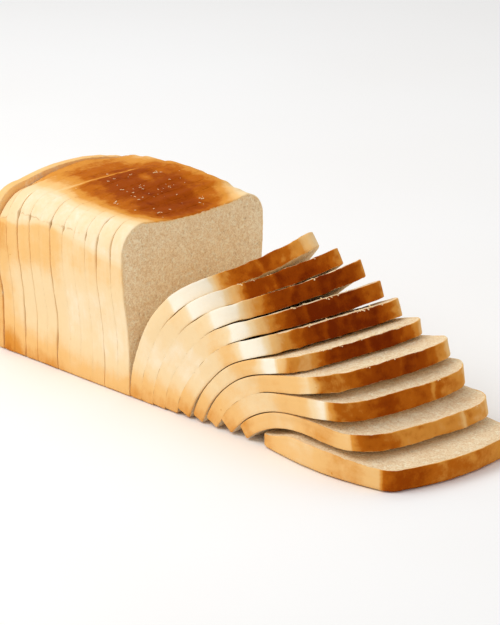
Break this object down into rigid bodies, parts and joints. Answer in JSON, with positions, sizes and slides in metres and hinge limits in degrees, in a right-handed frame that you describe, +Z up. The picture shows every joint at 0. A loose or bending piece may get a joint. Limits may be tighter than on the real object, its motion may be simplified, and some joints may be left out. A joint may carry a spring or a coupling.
{
  "type": "sliced tin loaf",
  "caption": "Tin loaf of white sandwich bread, cut into slices: half still stands as a block with its heel, the rest fans out of the cut end, each slice bent over the next.",
  "frame": {"origin": "under the middle of the whole, block and fan together, on the surface it stands on", "axes": "+X along the loaf from the heel towards the fanned slices, +Y across the loaf away from the side that the picture shows, +Z up"},
  "size_m": [0.409, 0.1308, 0.1265],
  "materials": {
    "sliced_bread": "soft matte crumb inside a thin baked crust, golden at the sides and dark brown on top",
    "end_crust": "baked end crust, golden brown, matt to slightly satin"
  },
  "bodies": {
    "root": {"heel": "end_crust", "block_slice_01": "sliced_bread", "block_slice_02": "sliced_bread", "block_slice_03": "sliced_bread", "block_slice_04": "sliced_bread", "block_slice_05": "sliced_bread", "block_slice_06": "sliced_bread", "block_slice_07": "sliced_bread", "block_slice_08": "sliced_bread", "block_slice_09": "sliced_bread", "block_slice_10": "sliced_bread", "block_slice_11": "sliced_bread", "fan_slice_01": "sliced_bread", "fan_slice_02": "sliced_bread", "fan_slice_03": "sliced_bread", "fan_slice_04": "sliced_bread", "fan_slice_05": "sliced_bread", "fan_slice_06": "sliced_bread", "fan_slice_07": "sliced_bread", "fan_slice_08": "sliced_bread", "fan_slice_09": "sliced_bread", "fan_slice_10": "end_crust"}
  },
  "joints": []
}
